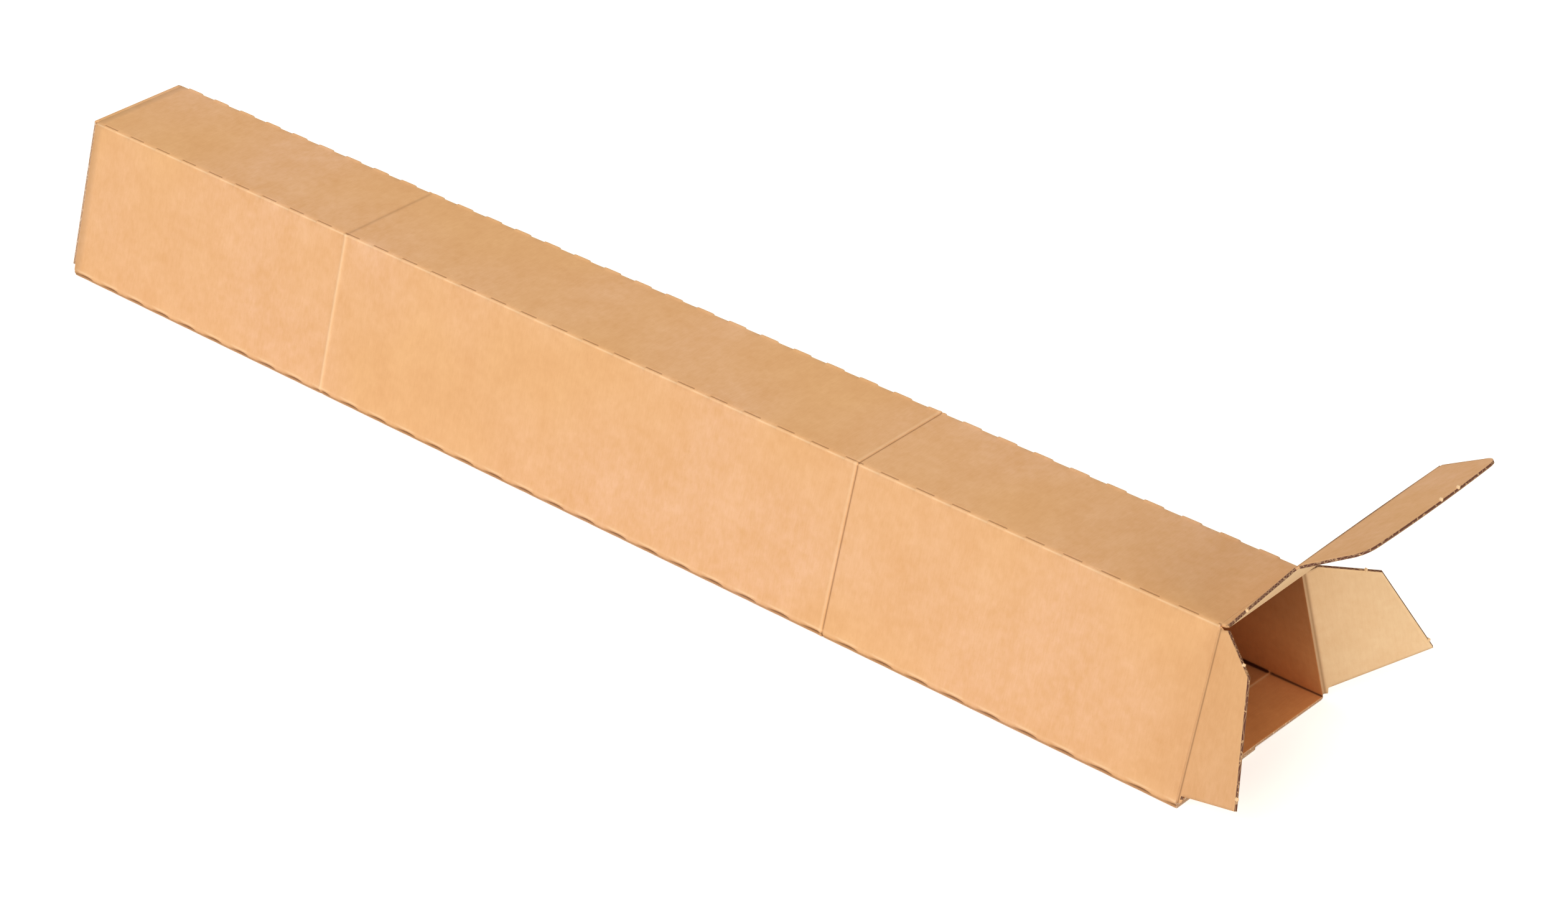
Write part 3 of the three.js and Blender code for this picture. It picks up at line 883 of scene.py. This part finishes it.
def dust_frame(end, side):
    """A dust fold's origin at top level and its three directions."""
    cos, sin = math.cos(WALL_TILT), math.sin(WALL_TILT)
    origin = np.array([end * HALF_LENGTH, side * wall_middle(HEIGHT), HEIGHT])
    down = np.array([0, side * sin, -cos])
    outwards = np.array([0, side * cos, sin])
    return origin, end * X_AXIS, down, outwards


def join_bodies(piece):
    """Bakes the piece's placement into its mesh."""
    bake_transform(piece)


def finish_piece(piece, *nodes):
    """Hides the CAD nodes that the piece stands for."""
    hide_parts(*nodes)


def flap_place(frame, angle, u, v):
    """The place of (u, v) on a flap's flat part, past its fold."""
    origin, along_axis, fold_axis, out_axis = frame
    return origin + u * turned(along_axis, out_axis, angle) + v * fold_axis


def lumpy_ball():
    """A small lumpy ball of torn fibre: its points, and its faces from pole to pole."""
    turn = np.linspace(0, TURN, NICK_AROUND + 1)[:-1]
    rise = np.linspace(-math.pi / 2, math.pi / 2, NICK_RINGS + 2)[1:-1]
    circle = np.stack([np.cos(turn), np.sin(turn)], -1)
    rings = [np.column_stack([circle * math.cos(r), np.full(NICK_AROUND, math.sin(r))])
             for r in rise]
    ball = np.concatenate([[[0, 0, -1]], *rings, [[0, 0, 1]]])
    lumps = 1 + NICK_LUMPS * np.sin(5 * ball[:, :1] + 3 * ball[:, 1:2] + 4 * ball[:, 2:])
    last_ring = 1 + (NICK_RINGS - 1) * NICK_AROUND
    faces = []
    for a in range(NICK_AROUND):
        b = (a + 1) % NICK_AROUND
        faces.append([0, 1 + b, 1 + a])
        for low in range(1, last_ring, NICK_AROUND):
            faces.append([low + a, low + b, low + NICK_AROUND + b, low + NICK_AROUND + a])
        faces.append([last_ring + a, last_ring + b, len(ball) - 1])
    return ball * lumps * NICK_RADII, faces


def add_nicks(name, body, places, material):
    """Torn nicks left by the cutting die: small pale balls of fibre on a raw edge."""
    ball, ball_faces = lumpy_ball()
    points = np.concatenate([ball + place for place in places])
    faces = [[i + len(ball) * k for i in face] for k in range(len(places)) for face in ball_faces]
    piece = make_mesh(name, points, faces, np.zeros(len(faces)), points, np.zeros(len(points)),
                      (material,))
    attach(piece, body)


def lid_bow(u, v):
    """The lid's slight bow across its middle."""
    return 0.25 * smooth(2, 30, u) * np.cos(math.pi * v / 110)


def tuck_bow(u, v):
    """The tuck flap's slight curl towards its free edge."""
    return -0.9 * smooth(1, TUCK_DEPTH, u) * (1 - (v / 52) ** 2)


def build_materials():
    """The skins outside and inside the flaps, a darker copy of the inner skin that paints the shade
    inside the sleeve, and the two raw edges with painted shade in their flute hollows.
    """
    paper = kraft_paper_group()
    raw = raw_edge_group()
    outer = paper_material(
        "kraft_outer", paper, light=colour(234, 184, 133), blush=colour(236, 188, 149),
        deep=colour(224, 170, 119), highlit_paper=colour(250, 214, 172), bare_and_shade=colour(96, 52, 28),
        flutes=0.08)
    inner = paper_material(
        "kraft_inner", paper, light=colour(244, 211, 169), blush=colour(243, 206, 166),
        deep=colour(235, 196, 151), highlit_paper=colour(250, 226, 192), bare_and_shade=colour(150, 104, 66),
        flutes=0.20)
    # a darker copy of the inner skin: painted shade for the inside of the sleeve
    shaded = paper_material(
        "kraft_sleeve_inside_painted_shade", paper, light=colour(222, 154, 98), blush=colour(220, 148, 94),
        deep=colour(208, 138, 84), highlit_paper=colour(246, 206, 160), bare_and_shade=colour(70, 26, 8),
        flutes=0.15)
    # the hollow tones are painted shade in the flute channels, lighter on the pressed edge
    edge = edge_material("board_edge", raw, colour(206, 166, 126), colour(104, 66, 54))
    pressed = edge_material("pressed_edge", raw, colour(238, 214, 190), colour(190, 150, 118))
    return outer, inner, shaded, edge, pressed


def add_hinged(name, outline, angle, frame, materials, child, warp=None,
               crush=FOLD_CRUSH):
    """A flap built in place of the child's solid, which is hidden."""
    flap = build_flap(name, outline, angle, frame, materials, warp, crush)
    join_bodies(flap)
    finish_piece(flap, child)


def build_lid(end, prefix, lift, bend, materials, warps=(None, None), crush=FOLD_CRUSH):
    """The lid and tuck flap of one end. Returns the frames of their two folds."""
    lid_fold = (np.array([end * (HALF_LENGTH + LID_STEP), 0, LID_AXIS_HEIGHT]),
                end * X_AXIS, Y_AXIS, Z_AXIS)
    add_hinged(prefix + "lid_board", lid_outline(), lift, lid_fold, materials,
               prefix + "lid", warps[0], crush)
    along_lid = turned(end * X_AXIS, Z_AXIS, lift)
    out_of_lid = turned(Z_AXIS, -end * X_AXIS, lift)
    tuck_fold = (lid_fold[0] + LID_LENGTH * along_lid, along_lid, Y_AXIS, out_of_lid)
    add_hinged(prefix + "tuck_board", tuck_outline(), bend, tuck_fold, materials,
               prefix + "lid_tuck_flap", warps[1])
    return lid_fold, tuck_fold


def build_dust_flaps(side, name, spread, materials, nick_material):
    """One wall's dust flaps: the open one at the mouth and the shut one at the far end."""
    frame = dust_frame(1, side)
    outline = dust_flap_outline()
    add_hinged(name + "_dust_board", outline, spread, frame, materials,
               name + "_dust_flap")
    nicks = [outline[FOLD_ROWS + DUST_TOP_ROWS + DUST_NICK_ROW, 0],
             outline[-1, DUST_NICK_COLUMN]]
    add_nicks(name + "_dust_nicks", name + "_dust_flap",
              [flap_place(frame, spread, u, v) for u, v in nicks], nick_material)
    shut = build_flap("far_" + name + "_dust_board", outline, -SHUT_TURN, dust_frame(-1, side),
                      materials)
    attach(shut, "sleeve")
    finish_piece(shut, "far_" + name + "_dust_flap")


def build_box():
    """Every sheet of the box in place on its CAD body."""
    outer, inner, shaded, edge, pressed = build_materials()
    flap_materials = (outer, inner, edge)
    sleeve = build_sleeve((outer, shaded, pressed))
    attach(sleeve, "sleeve")
    finish_piece(sleeve, "sleeve")

    lid_fold, tuck_fold = build_lid(1, "", LID_LIFT, -TUCK_BEND, flap_materials,
                                    warps=(lid_bow, tuck_bow))
    nick = lid_outline()[LID_LIP_ROWS + FOLD_ROWS + LID_NICK_ROW, 0]
    add_nicks("lid_nicks", "lid", [flap_place(lid_fold, LID_LIFT, *nick)], inner)
    nicks = tuck_outline()[-1, list(TUCK_NICK_COLUMNS)]
    add_nicks("tuck_nicks", "lid_tuck_flap",
              [flap_place(tuck_fold, -TUCK_BEND, u, v) for u, v in nicks], inner)
    build_lid(-1, "far_", -SHUT_TURN, -SHUT_TUCK_BEND, (outer, inner, pressed),
              crush=FAR_LID_CRUSH)

    build_dust_flaps(-1, "front", FRONT_DUST_SPREAD, flap_materials, inner)
    build_dust_flaps(1, "rear", REAR_DUST_SPREAD, flap_materials, inner)


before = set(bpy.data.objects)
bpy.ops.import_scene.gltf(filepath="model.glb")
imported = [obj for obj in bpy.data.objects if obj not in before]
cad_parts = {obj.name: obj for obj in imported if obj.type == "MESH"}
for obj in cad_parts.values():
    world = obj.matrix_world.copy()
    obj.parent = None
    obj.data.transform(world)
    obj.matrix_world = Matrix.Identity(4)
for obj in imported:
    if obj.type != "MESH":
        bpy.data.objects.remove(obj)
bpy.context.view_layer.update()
bpy.context.scene.view_settings.view_transform = "Standard"
build_camera()
build_world()
build_floor()
add_sun("key", towards=(0.1, -0.85, 0.60), strength=1.42, spread=40, tint=(1.0, 1.01, 1.06))
add_sun("fill", towards=(1.0, -0.22, 0.46), strength=1.12, spread=28, tint=(1.0, 0.96, 0.86))
add_sun("back", towards=(-1.0, 0.05, 0.22), strength=0.66, spread=40, tint=(1.0, 0.97, 0.86))
build_box()
